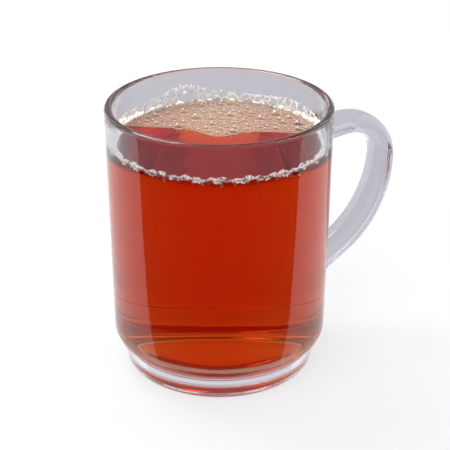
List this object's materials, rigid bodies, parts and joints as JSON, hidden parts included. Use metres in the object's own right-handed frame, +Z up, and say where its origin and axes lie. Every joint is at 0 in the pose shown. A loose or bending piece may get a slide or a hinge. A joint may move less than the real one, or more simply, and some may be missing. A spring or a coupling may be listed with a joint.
{
  "type": "glass mug of black tea",
  "caption": "Straight glass mug with an ear-shaped handle and a stepped foot, filled with black tea that has a patch and a rim of froth.",
  "frame": {"origin": "middle of the flat underside, on the mug's axis", "axes": "+Z up along the mug's axis, +X towards the handle"},
  "size_m": [0.1048, 0.075, 0.093],
  "materials": {
    "clear_glass": "clear pressed glass, smooth",
    "black_tea": "clear red-brown drink with a still surface",
    "tea_froth": "pale cream bubbles, wet"
  },
  "bodies": {
    "root": {"glass_mug": "clear_glass", "tea": "black_tea", "froth": "tea_froth"}
  },
  "joints": []
}
